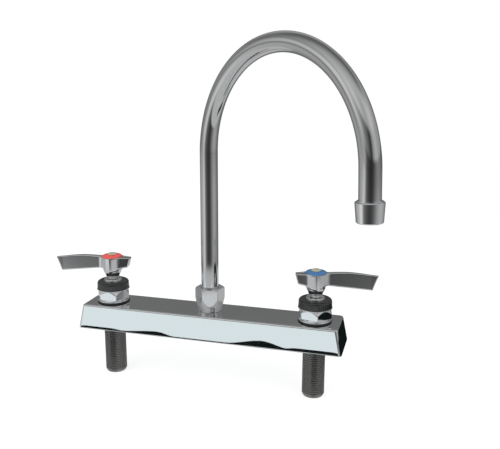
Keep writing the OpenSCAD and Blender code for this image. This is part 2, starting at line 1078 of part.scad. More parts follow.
module aerator_washer() {
    color("black")
        at_outlet()
            ring(shell_seat_r - 0.05, tube_bore_r, washer_down, washer_t);
}

// Places a child at each hole of a round grid
module screen_grid(r) {
    step = 2 * r / screen_across;
    reach = (screen_across - 1) / 2;
    for (i = [-reach:reach], j = [-reach:reach])
        if (norm([i, j]) * step < r - step / 3)
            translate([i * step, j * step, 0])
                children();
}

module aerator_straightener() {
    r = shell_seat_r - 0.05;
    step = 2 * (shell_lip_r - 0.4) / screen_across;
    color("ivory")
        at_outlet()
            difference() {
                rod(r, insert_down, insert_l);
                screen_grid(shell_lip_r - 0.4)
                    translate([-step * 0.38, -step * 0.38, insert_down - cut])
                        cube([step * 0.76, step * 0.76, insert_l + 2 * cut]);
            }
}

module aerator_screen() {
    r = shell_seat_r - 0.05;
    step = 2 * (shell_lip_r - 0.4) / screen_across;
    color("gray")
        at_outlet()
            difference() {
                rod(r, screen_down, screen_t);
                screen_grid(shell_lip_r - 0.4)
                    translate([-step * 0.3, -step * 0.3, screen_down - cut])
                        cube([step * 0.6, step * 0.6, screen_t + 2 * cut]);
            }
}

faucet_body();
hot_shank();
cold_shank();
hot_seat_seal();
cold_seat_seal();
hot_fixed_disc();
cold_fixed_disc();
hot_moving_disc();
cold_moving_disc();
hot_cartridge();
cold_cartridge();
hot_cartridge_oring();
cold_cartridge_oring();
hot_stem();
cold_stem();
hot_stem_orings();
cold_stem_orings();
hot_base_gasket();
cold_base_gasket();
hot_base_ring();
cold_base_ring();
hot_bonnet();
cold_bonnet();
hot_bonnet_oring();
cold_bonnet_oring();
hot_bonnet_cap();
cold_bonnet_cap();
hot_lock_ring();
cold_lock_ring();
hot_lever();
cold_lever();
hot_index_ring();
cold_index_ring();
hot_lever_screw();
cold_lever_screw();
spout_bush();
spout_bush_orings();
spout_glide_ring();
spout_nut();
spout_tube();
outlet_collar();
aerator_shell();
aerator_washer();
aerator_straightener();
aerator_screen();
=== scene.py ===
# Deck-mount faucet: a long chrome casting with two lever valves and a swinging gooseneck spout.
# Metres, +Z up. +X runs along the casting to the cold valve and -Y faces the user. The sizes of the
# pieces are written in millimetres.
from math import cos, pi, radians, sin

import bmesh
import bpy
import numpy as np
from mathutils import Matrix, Vector


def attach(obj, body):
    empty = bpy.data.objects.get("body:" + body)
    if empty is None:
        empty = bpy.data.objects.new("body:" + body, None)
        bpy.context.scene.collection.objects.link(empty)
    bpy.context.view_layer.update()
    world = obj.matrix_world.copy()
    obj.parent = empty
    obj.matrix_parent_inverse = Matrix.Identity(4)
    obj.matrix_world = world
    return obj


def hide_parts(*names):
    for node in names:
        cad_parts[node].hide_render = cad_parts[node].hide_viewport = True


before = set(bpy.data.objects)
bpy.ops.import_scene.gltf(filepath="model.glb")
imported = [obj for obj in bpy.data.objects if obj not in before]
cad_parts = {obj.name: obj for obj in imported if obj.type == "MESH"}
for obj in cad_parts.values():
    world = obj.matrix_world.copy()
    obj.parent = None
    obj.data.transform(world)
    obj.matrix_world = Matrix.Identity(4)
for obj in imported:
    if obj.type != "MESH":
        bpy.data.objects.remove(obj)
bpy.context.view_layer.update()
mm = 0.001

# Camera. It stands in front and a little to the right, not quite as high as the spout's crown, and
# looks down on the casting. The photograph's own frame is 500 wide and 449 high.
yaw, pitch, roll = radians(15.22), radians(12.43), radians(0.29)
stand_off, slide_right, slide_up = 603.28 * mm, 37.92 * mm, 7.66 * mm
aim = Vector((0, 0, 100 * mm))
lens_px, frame_px, sensor_mm = 644.23, 500, 36

behind = Vector((sin(yaw) * cos(pitch), -cos(yaw) * cos(pitch), sin(pitch)))
level_right = Vector((cos(yaw), sin(yaw), 0))
level_up = level_right.cross(-behind)
to_right = cos(roll) * level_right + sin(roll) * level_up
to_top = cos(roll) * level_up - sin(roll) * level_right
eye = aim + behind * stand_off + to_right * slide_right + to_top * slide_up

camera = bpy.data.objects.new("camera", bpy.data.cameras.new("camera"))
bpy.context.scene.collection.objects.link(camera)
camera.matrix_world = Matrix.Translation(eye) @ Matrix((to_right, to_top, behind)).transposed().to_4x4()
camera.data.sensor_width = sensor_mm
camera.data.lens = lens_px / frame_px * sensor_mm
camera.data.clip_start, camera.data.clip_end = 0.01, 50
bpy.context.scene.camera = camera
bpy.context.scene.view_settings.view_transform = "Standard"

# Studio. Plain soft light on a white ground, and a grey room that only the chrome picks up. Its walls
# are pale at the left, dark round the camera, mid grey at the right and dark behind. The upper walls
# are alike, a paler cove runs over them, and the ceiling is pale in front and dark overhead.

# Pairs of bearing and grey. A bearing is in degrees from -Y, + to the right.
wall_greys = ((-180, 0.17), (-150, 0.20), (-125, 0.32), (-100, 0.46), (-77, 0.52), (-60, 0.72),
              (-46, 0.80), (-36, 0.52), (-26, 0.20), (-13, 0.12), (0, 0.07), (13, 0.05), (27, 0.07),
              (40, 0.14), (54, 0.28), (68, 0.40), (84, 0.48), (100, 0.44), (119, 0.32), (143, 0.20),
              (180, 0.17))
upper_greys = ((-180, 0.15), (-150, 0.17), (-125, 0.30), (-100, 0.30), (-80, 0.60), (-60, 0.82),
               (-40, 0.55), (-20, 0.28), (0, 0.15), (22, 0.03), (40, 0.34), (60, 0.58), (80, 0.56),
               (100, 0.45), (125, 0.42), (150, 0.20), (180, 0.15))
cove_greys = ((-180, 0.40), (-150, 0.42), (-120, 0.20), (-100, 0.22), (-80, 0.34), (-60, 0.46),
              (-40, 0.62), (-20, 0.74), (0, 0.60), (20, 0.47), (40, 0.54), (60, 0.70), (80, 0.65),
              (100, 0.54), (120, 0.44), (150, 0.30), (180, 0.40))
# Pairs of place and grey: 0 is the front of the ceiling, 0.5 is overhead and 1 is the back.
ceiling_greys = ((0, 0.60), (0.33, 0.58), (0.42, 0.45), (0.50, 0.30), (0.56, 0.18), (0.64, 0.14),
                 (0.70, 0.25), (0.77, 0.42), (0.83, 0.30), (0.89, 0.15), (1.0, 0.15))
# Where each part of the room gives way to the next, as the sine of the height in the sky.
upper_from, cove_from, ceiling_from = (0.02, 0.12), (0.34, 0.50), (0.62, 0.86)
distant_share = 0.62


def patch(tree, kind, feeds=None, **fields):
    """One shader node, with its fields set and its inputs linked or filled in."""
    made = tree.nodes.new("ShaderNode" + kind)
    for field, value in fields.items():
        setattr(made, field, value)
    for socket, value in (feeds or {}).items():
        if isinstance(value, bpy.types.NodeSocket):
            tree.links.new(value, made.inputs[socket])
        else:
            made.inputs[socket].default_value = value
    return made


def grey_ramp(tree, factor, stops):
    """Greys that follow a factor from 0 to 1, given as pairs of place and grey."""
    ramp = patch(tree, "ValToRGB", {0: factor})
    band = ramp.color_ramp.elements
    for place, grey in stops[1:-1]:
        band.new(place)
    for stop, (place, grey) in zip(band, stops):
        stop.position = place
        stop.color = (grey, grey, grey, 1)
    return ramp.outputs["Color"]


def to_front(tree, y):
    """How far a direction goes towards the front, -Y."""
    return patch(tree, "Math", {0: y, 1: -1.0}, operation="MULTIPLY").outputs[0]


def wall_grey(tree, x, y, greys):
    """The grey of the studio wall that lies in the direction x, y from the faucet."""
    bearing = patch(tree, "Math", {0: x, 1: to_front(tree, y)}, operation="ARCTAN2").outputs[0]
    share = patch(tree, "Math", {0: bearing, 1: 0.5 / pi, 2: 0.5}, operation="MULTIPLY_ADD").outputs[0]
    return grey_ramp(tree, share, [(0.5 + bearing_deg / 360, grey) for bearing_deg, grey in greys])


def smooth_step(tree, value, low, high):
    return patch(tree, "MapRange", {0: value, 1: low, 2: high, 3: 0.0, 4: 1.0},
                 interpolation_type="SMOOTHSTEP").outputs[0]


def blend_colour(tree, share, first, second):
    return patch(tree, "Mix", {0: share, 6: first, 7: second}, data_type="RGBA").outputs[2]


def dimmed(tree, colour, share):
    return patch(tree, "VectorMath", {0: colour, "Scale": share}, operation="SCALE").outputs[0]


def seen_directly(tree):
    """1 for the rays that come from the camera or through glass."""
    ray = patch(tree, "LightPath").outputs
    return patch(tree, "Math", {0: ray["Is Camera Ray"], 1: ray["Is Transmission Ray"]},
                 operation="MAXIMUM").outputs[0]


white = (1, 1, 1, 1)
room_light = (0.86, 0.88, 0.90, 1)
studio = bpy.data.worlds.new("studio")
bpy.context.scene.world = studio
studio.use_nodes = True
tree = studio.node_tree
tree.nodes.clear()
x, y, z = patch(tree, "SeparateXYZ", {0: patch(tree, "TexCoord").outputs["Generated"]}).outputs
over = patch(tree, "Math", {0: z, 1: to_front(tree, y)}, operation="ARCTAN2").outputs[0]
over = patch(tree, "Math", {0: over, 1: 1 / pi}, operation="MULTIPLY").outputs[0]
room = dimmed(tree, wall_grey(tree, x, y, wall_greys), distant_share)
for rise, grey in ((upper_from, wall_grey(tree, x, y, upper_greys)),
                   (cove_from, wall_grey(tree, x, y, cove_greys)),
                   (ceiling_from, grey_ramp(tree, over, ceiling_greys))):
    room = blend_colour(tree, smooth_step(tree, z, *rise), room, grey)
in_metal = patch(tree, "LightPath").outputs["Is Glossy Ray"]
lit = blend_colour(tree, in_metal, room_light, room)
shown = blend_colour(tree, seen_directly(tree), lit, white)
sky = patch(tree, "Background", {"Color": shown, "Strength": 1.0})
patch(tree, "OutputWorld", {0: sky.outputs[0]})

# Ground. A pale table top at the foot of the shanks. To the eye it is white under a faint shadow; the
# chrome sees it grey near the faucet, and further off it takes the grey of the wall behind it.
ground_z = -49.6 * mm
table_reach, table_fade = 380 * mm, 1.15
table_grey, paper_white = (0.61, 0.615, 0.615, 1), (0.9, 0.9, 0.9, 1)
# In metres: half the table's width, and the distances between which it dims as the walls do.
ground_half, far_from, far_to = 6.0, 1.2, 3.0
glow_strength, glow_share = 1.09, 0.74
square = ((-1, -1), (1, -1), (1, 1), (-1, 1))

ground = bpy.data.objects.new("ground", bpy.data.meshes.new("ground"))
ground.data.from_pydata([(sx * ground_half, sy * ground_half, ground_z) for sx, sy in square],
                        [], [(0, 1, 2, 3)])
bpy.context.scene.collection.objects.link(ground)
table = bpy.data.materials.new("table_top")
table.use_nodes = True
tree = table.node_tree
tree.nodes.clear()
place = patch(tree, "TexCoord").outputs["Object"]
x, y, z = patch(tree, "SeparateXYZ", {0: place}).outputs
away = patch(tree, "VectorMath", {0: place}, operation="LENGTH").outputs["Value"]
beyond = smooth_step(tree, away, table_reach, table_reach * table_fade)
share = patch(tree, "MapRange", {0: away, 1: far_from, 2: far_to, 3: 1.0, 4: distant_share}).outputs[0]
far_grey = dimmed(tree, wall_grey(tree, x, y, wall_greys), share)
table_seen = blend_colour(tree, beyond, table_grey, far_grey)
mirrored = patch(tree, "Emission", {0: table_seen}).outputs[0]
paper = patch(tree, "BsdfDiffuse", {0: paper_white}).outputs[0]
glow = patch(tree, "Emission", {0: white, 1: glow_strength}).outputs[0]
to_eye = patch(tree, "MixShader", {0: glow_share, 1: paper, 2: glow}).outputs[0]
lit = patch(tree, "MixShader", {0: seen_directly(tree), 1: paper, 2: to_eye}).outputs[0]
in_metal = patch(tree, "LightPath").outputs["Is Glossy Ray"]
top = patch(tree, "MixShader", {0: in_metal, 1: lit, 2: mirrored}).outputs[0]
patch(tree, "OutputMaterial", {0: top})
ground.data.materials.append(table)

# Cards. Low strips of card stand on the table, which only the chrome sees. In front of the casting a
# black one darkens its rolled lower edge and a white one on top of that lights its face. A black one
# darkens its right end, and a small dark one before each shank darkens the thread.
table_z, front_y, shank_y = -49.5, -120, -36
card_black, card_white = (0.006, 0.009, 0.009, 1), (0.84, 0.92, 0.945, 1)
hot_card_grey, cold_card_grey = (0.05, 0.05, 0.05, 1), (0.02, 0.02, 0.02, 1)


def card(name, line_mm, low_mm, high_mm, shade):
    """A strip that stands along a line of points, from one height up to the other."""
    corners = [(px, py, pz) for px, py in line_mm for pz in (low_mm, high_mm)]
    board = bpy.data.objects.new(name, bpy.data.meshes.new(name))
    board.data.from_pydata([Vector(corner) * mm for corner in corners], [],
                           [(i, i + 2, i + 3, i + 1) for i in range(0, len(corners) - 2, 2)])
    bpy.context.scene.collection.objects.link(board)
    paint = bpy.data.materials.new(name)
    paint.use_nodes = True
    paint.node_tree.nodes.clear()
    glow = patch(paint.node_tree, "Emission", {0: shade}).outputs[0]
    patch(paint.node_tree, "OutputMaterial", {0: glow})
    board.data.materials.append(paint)
    for ray in ("camera", "diffuse", "shadow", "transmission"):
        setattr(board, "visible_" + ray, False)


card("front_card", ((-215, front_y), (130, front_y)), table_z, -27, card_black)
card("face_card", ((-215, front_y), (130, front_y)), -27, 6, card_white)
card("end_card", ((140, 92), (230, 92), (230, -70)), table_z, 6, card_black)
card("hot_shank_card", ((-126, shank_y), (-84, shank_y)), table_z, -14, hot_card_grey)
card("cold_shank_card", ((96, shank_y), (142, shank_y)), table_z, -14, cold_card_grey)

# Lamps. A large soft box over the left shoulder and a weaker one at the right keep every colour about
# as it is written. The chrome doesn't show them.
def soft_box(name, place_mm, size_mm, watts):
    """A square lamp that faces the middle of the faucet's base."""
    lamp = bpy.data.objects.new(name, bpy.data.lights.new(name, "AREA"))
    lamp.location = Vector(place_mm) * mm
    lamp.rotation_euler = (-lamp.location).to_track_quat("-Z", "Y").to_euler()
    lamp.data.size = size_mm * mm
    lamp.data.energy = watts
    lamp.visible_glossy = False
    bpy.context.scene.collection.objects.link(lamp)


soft_box("key_light", (-700, -900, 1100), 900, 9)
soft_box("fill_light", (900, -500, 700), 700, 3)

# Casting. The body is one hollow brass casting, ground, polished and chrome plated. The wheel has
# rolled its lower front edge under, more so in two long hollows. It is open underneath, around the
# bosses that hold the valves, the shanks and the spout.
body_l, body_w, body_h = 260, 45, 24
end_draft, side_draft = 4.6, 2.0
corner_r, top_edge_r, foot_edge_r = 3.0, 1.6, 0.8
cast_wall = 3.2
valve_x, valve_boss_r, spout_boss_r, waterway_half = 101.6, 15.2, 13.4, 5.4
# Each hollow: where along the casting it starts, is tallest and ends, and how tall it is.
wheel_hollows = ((-88, -46, -30, 3.4), (22, 57, 84, 6.0))
hollow_slope, hollow_ease, hollow_end_gap = 0.085, 0.35, 4
rolled_h, left_extra, right_extra = 1.4, 1.5, 2.3


def soft_rise(value, low, high):
    """From 0 at the low value to 1 at the high one, level at both."""
    t = np.clip((value - low) / (high - low), 0, 1)
    return t * t * (3 - 2 * t)


def rounded_plan(half_l, half_w, r, along=96, corner=8):
    """Points round a rectangle with rounded corners, from its front left one, +X first."""
    plan = []
    for i, (cx, cy) in enumerate(((1, -1), (1, 1), (-1, 1), (-1, -1))):
        centre = np.array([cx * (half_l - r), cy * (half_w - r)])
        for step in range(corner + 1):
            a = radians(-90 + 90 * i + 90 * step / corner)
            plan.append(centre + r * np.array([cos(a), sin(a)]))
    front = np.linspace(plan[-1], plan[0], along + 1)[1:-1]
    back_start, back_end = plan[2 * corner + 1], plan[2 * corner + 2]
    back = np.linspace(back_start, back_end, along + 1)[1:-1]
    return np.array(plan[:2 * corner + 2] + list(back) + plan[2 * corner + 2:] + list(front))


def stack_of(loops, capped=True):
    """Faces that join loops of equal length, one above the other, into a closed skin."""
    loops = [np.asarray(loop, float) for loop in loops]
    n = len(loops[0])
    faces = [(k * n + i, k * n + (i + 1) % n, (k + 1) * n + (i + 1) % n, (k + 1) * n + i)
             for k in range(len(loops) - 1) for i in range(n)]
    if capped:
        faces.append(tuple(range(n))[::-1])
        faces.append(tuple((len(loops) - 1) * n + i for i in range(n)))
    return np.vstack(loops), faces


def turned(outline, steps=96, ring=False):
    """A lathe piece. The outline runs from the foot up as points of radius and height, and a radius may
    be a rule of the angle. A ring's outline closes on itself round a bore."""
    angle = np.arange(steps) * 2 * pi / steps
    rows = []
    for r, z in outline:
        r = r(angle) if callable(r) else np.full(steps, float(r))
        rows.append(np.c_[r * np.cos(angle), r * np.sin(angle), np.full(steps, float(z))])
    if ring:
        rows.append(rows[0])
    verts, faces = stack_of(rows, capped=not ring)
    if ring:
        count = (len(rows) - 1) * steps
        faces = [tuple(v % count for v in face) for face in faces]
        verts = verts[:count]
    return verts, faces


def shaped(name, verts, faces):
    """A mesh object from points in millimetres."""
    mesh = bpy.data.meshes.new(name)
    mesh.from_pydata([tuple(v) for v in np.asarray(verts) * mm], [], [tuple(f) for f in faces])
    work = bmesh.new()
    work.from_mesh(mesh)
    bmesh.ops.remove_doubles(work, verts=work.verts, dist=1e-7)
    bmesh.ops.dissolve_degenerate(work, edges=work.edges, dist=1e-7)
    bmesh.ops.recalc_face_normals(work, faces=work.faces)
    work.to_mesh(mesh)
    work.free()
    piece = bpy.data.objects.new(name, mesh)
    bpy.context.scene.collection.objects.link(piece)
    return piece


def settle(piece):
    """Applies the piece's modifiers to its mesh."""
    bpy.context.view_layer.update()
    graph = bpy.context.evaluated_depsgraph_get()
    mesh = bpy.data.meshes.new_from_object(piece.evaluated_get(graph))
    piece.modifiers.clear()
    old, piece.data = piece.data, mesh
    bpy.data.meshes.remove(old)
    return piece


def cut(piece, *tools):
    """Machines the tools' shapes out of the piece, and throws the tools away."""
    for tool in tools:
        bite = piece.modifiers.new("cut", "BOOLEAN")
        bite.operation, bite.solver, bite.object = "DIFFERENCE", "EXACT", tool
    settle(piece)
    for tool in tools:
        bpy.data.objects.remove(tool)
    return piece


def polished(piece, sharp_deg=32):
    """Smooth shading that keeps flat faces flat and leaves the sharp edges."""
    piece.data.shade_smooth()
    piece.data.set_sharp_from_angle(angle=radians(sharp_deg))
    weighted = piece.modifiers.new("flats", "WEIGHTED_NORMAL")
    weighted.keep_sharp = True
    return settle(piece)


def fitted(piece, body, slot, material, *nodes):
    """Finishes a piece, sets it on its body and puts it in the place of its plain solids."""
    piece.data.materials.clear()
    piece.data.materials.append(material)
    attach(piece, body)
    if nodes:
        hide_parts(*nodes)
    return piece


def chrome_plate(name, tint, shine, haze, ripple, ripple_size, bright=1.0):
    """Bright chrome: a mirror whose roughness comes and goes between shine and haze, over the ripple of
    hand polishing, which is so many millimetres deep and wide. Less than fully bright is satin plate."""
    plate = bpy.data.materials.new(name)
    plate.use_nodes = True
    tree = plate.node_tree
    tree.nodes.clear()
    place = patch(tree, "TexCoord").outputs["Object"]
    cloud = patch(tree, "TexNoise", {"Vector": place, "Scale": 55.0, "Detail": 5.0, "Roughness": 0.6})
    rough = patch(tree, "MapRange", {0: cloud.outputs[0], 1: 0.35, 2: 0.7, 3: shine, 4: haze}).outputs[0]
    swell = patch(tree, "TexNoise", {"Vector": place, "Scale": 1 / (ripple_size * mm), "Detail": 1.0})
    relief = patch(tree, "Bump", {"Height": swell.outputs[0], "Strength": 1.0, "Distance": ripple * mm})
    skin = patch(tree, "BsdfPrincipled", {"Base Color": (*tint, 1), "Metallic": bright,
                                          "Roughness": rough, "Normal": relief.outputs[0]})
    patch(tree, "OutputMaterial", {0: skin.outputs[0]})
    return plate


def body_level(z, inset=0.0):
    """The casting's outer loop at one height, drawn in by its drafts."""
    share = z / body_h
    return rounded_plan(body_l / 2 - end_draft * share - inset, body_w / 2 - side_draft * share - inset,
                        corner_r - 0.8 * inset)


def hollow_height(x):
    """How high the rolled-under part of the lower front edge reaches."""
    reach = rolled_h + left_extra * soft_rise(-x, 82, 94) + right_extra * soft_rise(x, 76, 88)
    for start, peak, end, tall in wheel_hollows:
        reach += tall * soft_rise(x, start, peak) * (1 - soft_rise(x, peak, end))
    return reach


roof = body_h - cast_wall
front = body_w / 2 - side_draft
outer = []
for a in np.linspace(10, 80, 6):
    outer.append((foot_edge_r * (1 - sin(radians(a))), foot_edge_r * (1 - cos(radians(a)))))
heights = list(np.arange(1.0, 9.2, 0.4)) + [10.5, 13, 16, 19, body_h - top_edge_r]
outer += [(0.0, h) for h in heights]
for a in np.linspace(10, 90, 9):
    outer.append((top_edge_r * (1 - cos(radians(a))), body_h - top_edge_r * (1 - sin(radians(a)))))
loops = [np.c_[body_level(0, foot_edge_r), np.zeros(len(body_level(0)))]]
for inset, z in outer:
    plan = body_level(z, inset)
    on_front = soft_rise(-plan[:, 1], front - 3.2, front - 1.2)
    under = hollow_slope * hollow_ease * np.logaddexp(0, (hollow_height(plan[:, 0]) - z) / hollow_ease)
    plan[:, 1] += under * on_front * (np.abs(plan[:, 0]) < body_l / 2 - hollow_end_gap)
    loops.append(np.c_[plan, np.full(len(plan), z)])
casting = shaped("body_casting", *stack_of(loops))

pocket = []
for z, inset in ((-1, 0), (roof - 1.6, 0), (roof - 0.5, 0.5), (roof, 1.6)):
    share = max(z, 0) / body_h
    plan = rounded_plan(body_l / 2 - cast_wall - end_draft * share - inset,
                        body_w / 2 - cast_wall - side_draft * share - inset, 2.0 - 0.5 * inset, along=4)
    pocket.append(np.c_[plan, np.full(len(plan), z)])
pocket = shaped("pocket", *stack_of(pocket))
bosses = []
for x, r in ((-valve_x, valve_boss_r), (0, spout_boss_r), (valve_x, valve_boss_r)):
    verts, faces = turned([(r + 0.6, -2), (r, roof - 1), (r, body_h + 2)])
    bosses.append(shaped("boss", verts + (x, 0, 0), faces))
waterway = np.array([(sx * valve_x, sy * waterway_half) for sx, sy in square])
bosses.append(shaped("waterway", *stack_of([np.c_[waterway, np.full(4, z)] for z in (-2, body_h + 2)])))
cut(pocket, *bosses)
valve_well = [(10.65, -1), (10.65, 1), (9.55, 1), (9.55, 7.4), (5.2, 7.4), (5.2, 9), (12, 9),
              (12, body_h + 1)]
wells = []
for x in (-valve_x, valve_x):
    verts, faces = turned(valve_well)
    wells.append(shaped("well", verts + (x, 0, 0), faces))
wells.append(shaped("well", *turned([(8.6, 3), (8.6, 9.8), (10.2, 9.8), (10.2, body_h + 1)])))
cut(casting, pocket, *wells)
cast_chrome = chrome_plate("cast_chrome", (0.80, 0.815, 0.82), 0.05, 0.09, 0.004, 26)
fitted(polished(casting), "body", "chrome_casting", cast_chrome, "faucet_body")

# Supply shanks. Two brass pipe nipples, left unplated and dark, cut with a straight half-inch pipe
# thread and brazed into sockets in the casting's underside.
shank_r, shank_bore_r, shank_l = 10.55, 6.5, 49.5
pitch, thread_depth, neck_l, shank_chamfer = 1.814, 1.1, 4.0, 2.2
around, per_turn = 72, 12
valves = (("hot", -valve_x), ("cold", valve_x))


def dark_metal(name, tint, low, high, grain, bare=1.0, tooth=0.03):
    """Unplated metal with a dull skin, rough from low to high: oxide that lies darker in some places
    than others. Bare says how much of the metal shows, tooth how many millimetres deep its skin is."""
    skin = bpy.data.materials.new(name)
    skin.use_nodes = True
    tree = skin.node_tree
    tree.nodes.clear()
    place = patch(tree, "TexCoord").outputs["Object"]
    cloud = patch(tree, "TexNoise", {"Vector": place, "Scale": grain, "Detail": 6.0,
                                     "Roughness": 0.65}).outputs[0]
    darker = tuple(0.62 * c for c in tint)
    colour = blend_colour(tree, cloud, (*darker, 1), (*tint, 1))
    rough = patch(tree, "MapRange", {0: cloud, 1: 0.3, 2: 0.7, 3: low, 4: high}).outputs[0]
    fine = patch(tree, "TexNoise", {"Vector": place, "Scale": 1500.0, "Detail": 2.0}).outputs[0]
    relief = patch(tree, "Bump", {"Height": fine, "Strength": 0.5, "Distance": tooth * mm})
    metal = patch(tree, "BsdfPrincipled", {"Base Color": colour, "Metallic": bare, "Roughness": rough,
                                           "Normal": relief.outputs[0]})
    patch(tree, "OutputMaterial", {0: metal.outputs[0]})
    return skin


def thread_depth_at(phase):
    """Depth of the groove over one pitch: crest, straight flank, root, and the flank back."""
    return np.interp(phase % 1.0, (0, 0.14, 0.42, 0.58, 0.86, 1.0), (0, 0, 1, 1, 0, 0)) * thread_depth


def threaded_nipple():
    """A helix of thread that runs out at both ends, and the neck, top, bore and foot that close it."""
    low, high = -shank_l + shank_chamfer, -neck_l
    angle = np.arange(around) * 2 * pi / around
    rows = int((high - low) / pitch * per_turn) + 2 * per_turn
    verts = []
    for row in range(-per_turn, rows):
        z = low + pitch * (row / per_turn + angle / (2 * pi))
        run_out = soft_rise(z, low, low + pitch) * (1 - soft_rise(z, high - pitch, high))
        r = shank_r - thread_depth_at(np.full(around, row / per_turn)) * run_out
        z = np.clip(z, low, high)
        verts.append(np.c_[r * np.cos(angle), r * np.sin(angle), z])
    count = len(verts)
    faces = []
    for k in range(count - 1):
        for i in range(around):
            j, step = (i + 1) % around, per_turn if i == around - 1 else 0
            if k + step + 1 < count:
                faces.append((k * around + i, (k + step) * around + j,
                              (k + step + 1) * around + j, (k + 1) * around + i))
    verts = np.vstack(verts)
    ends = [(shank_r, high), (shank_r, 0), (shank_r - 0.3, 0), (shank_r - 0.3, 0.9), (9.5, 0.9),
            (9.5, 7.2), (shank_bore_r, 7.2), (shank_bore_r, -shank_l + 1),
            (shank_bore_r + 1, -shank_l), (shank_r - shank_chamfer / 2, -shank_l), (shank_r, low)]
    rings = [np.c_[r * np.cos(angle), r * np.sin(angle), np.full(around, float(z))] for r, z in ends]
    end_verts, end_faces = stack_of(rings, capped=False)
    return np.vstack([verts, end_verts]), faces + [tuple(v + len(verts) for v in f) for f in end_faces]


dark_brass = dark_metal("dark_pipe_brass", (0.34, 0.34, 0.33), 0.20, 0.30, 60.0, 0.95, 0.006)
verts, faces = threaded_nipple()
for side, x in valves:
    nipple = shaped(side + "_threaded_shank", verts + (x, 0, 0), faces)
    fitted(polished(nipple, 50), "body", "dark_pipe", dark_brass, side + "_shank")

# Valve works. Inside each bonnet a ceramic disc turns on a fixed one in a plated barrel, over a rubber
# seat, on a brass stem with two O-rings. They are the plain solids with their own finishes.
def dressed(material, *nodes):
    """Gives the carried-over solids their finish."""
    for name in nodes:
        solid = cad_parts[name]
        solid.data.materials.clear()
        solid.data.materials.append(material)


def moulded(name, tint, low, high, grain, gloss):
    """Rubber, plastic or fired clay: one colour that clouds a little, with a finely uneven skin that is
    rough from low to high."""
    skin = bpy.data.materials.new(name)
    skin.use_nodes = True
    tree = skin.node_tree
    tree.nodes.clear()
    place = patch(tree, "TexCoord").outputs["Object"]
    cloud = patch(tree, "TexNoise", {"Vector": place, "Scale": grain, "Detail": 4.0}).outputs[0]
    deeper = tuple(0.86 * c for c in tint)
    colour = blend_colour(tree, cloud, (*deeper, 1), (*tint, 1))
    rough = patch(tree, "MapRange", {0: cloud, 1: 0.3, 2: 0.7, 3: low, 4: high}).outputs[0]
    fine = patch(tree, "TexNoise", {"Vector": place, "Scale": 2600.0, "Detail": 2.0}).outputs[0]
    relief = patch(tree, "Bump", {"Height": fine, "Strength": 0.3, "Distance": 0.01 * mm})
    mould = patch(tree, "BsdfPrincipled", {"Base Color": colour, "Roughness": rough,
                                           "Specular IOR Level": gloss, "Normal": relief.outputs[0]})
    patch(tree, "OutputMaterial", {0: mould.outputs[0]})
    return skin


valve_brass = dark_metal("turned_brass", (0.72, 0.55, 0.27), 0.22, 0.36, 260.0)
seal_rubber = moulded("seal_rubber", (0.022, 0.022, 0.023), 0.5, 0.7, 900.0, 0.4)
fired_ceramic = moulded("fired_ceramic", (0.88, 0.87, 0.83), 0.2, 0.3, 400.0, 0.5)
trim_chrome = chrome_plate("trim_chrome", (0.79, 0.80, 0.81), 0.06, 0.10, 0.002, 14)
for side in ("hot", "cold"):
    dressed(seal_rubber, side + "_seat_seal", side + "_cartridge_oring", side + "_stem_orings",
            side + "_bonnet_oring")
    dressed(fired_ceramic, side + "_fixed_disc", side + "_moving_disc")
    dressed(trim_chrome, side + "_cartridge")
    dressed(valve_brass, side + "_stem")

# Base gaskets. A flat ring of black rubber lies on the casting round each valve. The bonnet squeezes
# it, so that its edge bulges a little from under the base ring.
def eased(corners, steps=5):
    """An outline whose corners are rounded. Each corner is radius, height and the size of its round."""
    outline = []
    for i, (r, z, round_r) in enumerate(corners):
        here = np.array([r, z], float)
        before = np.array(corners[i - 1][:2], float) - here
        after = np.array(corners[(i + 1) % len(corners)][:2], float) - here
        if not round_r:
            outline.append((r, z))
            continue
        before, after = before / np.linalg.norm(before), after / np.linalg.norm(after)
        half = np.arccos(np.clip(before @ after, -1, 1)) / 2
        back = round_r / np.tan(half)
        centre = here + (before + after) / np.linalg.norm(before + after) * round_r / np.sin(half)
        start, end = here + before * back - centre, here + after * back - centre
        sweep = np.arccos(np.clip(start @ end / round_r ** 2, -1, 1))
        for t in np.linspace(0, 1, steps):
            point = (np.sin((1 - t) * sweep) * start + np.sin(t * sweep) * end) / np.sin(sweep) + centre
            outline.append((point[0], point[1]))
    return outline


gasket_h = 1.4
gasket_ring = turned(eased([(12.3, body_h, 0), (15.6, body_h, 0.25), (15.8, body_h + 0.7, 0.3),
                            (15.5, body_h + gasket_h, 0.3), (12.3, body_h + gasket_h, 0)]), ring=True)
for side, x in valves:
    gasket = shaped(side + "_seat_gasket", gasket_ring[0] + (x, 0, 0), gasket_ring[1])
    fitted(polished(gasket), "body", "seal_rubber", seal_rubber, side + "_base_gasket")

# Base rings. A thin brass ring, turned with a rounded edge and a step, then plated. It lies on the
# gasket, and the bonnet's hexagon holds it down.
base_ring_z, base_ring_h = body_h + gasket_h, 2.6
hex_z = base_ring_z + base_ring_h
base_ring = turned(eased([(12.3, base_ring_z, 0), (15.3, base_ring_z, 0.3),
                          (15.6, base_ring_z + 0.6, 0.4), (15.3, base_ring_z + 1.3, 0.3),
                          (14.2, base_ring_z + 1.6, 0.2), (14.2, hex_z, 0), (12.3, hex_z, 0)]),
                   ring=True)
for side, x in valves:
    ring = shaped(side + "_seat_ring", base_ring[0] + (x, 0, 0), base_ring[1])
    fitted(polished(ring), "body", "chrome_trim", trim_chrome, side + "_base_ring")

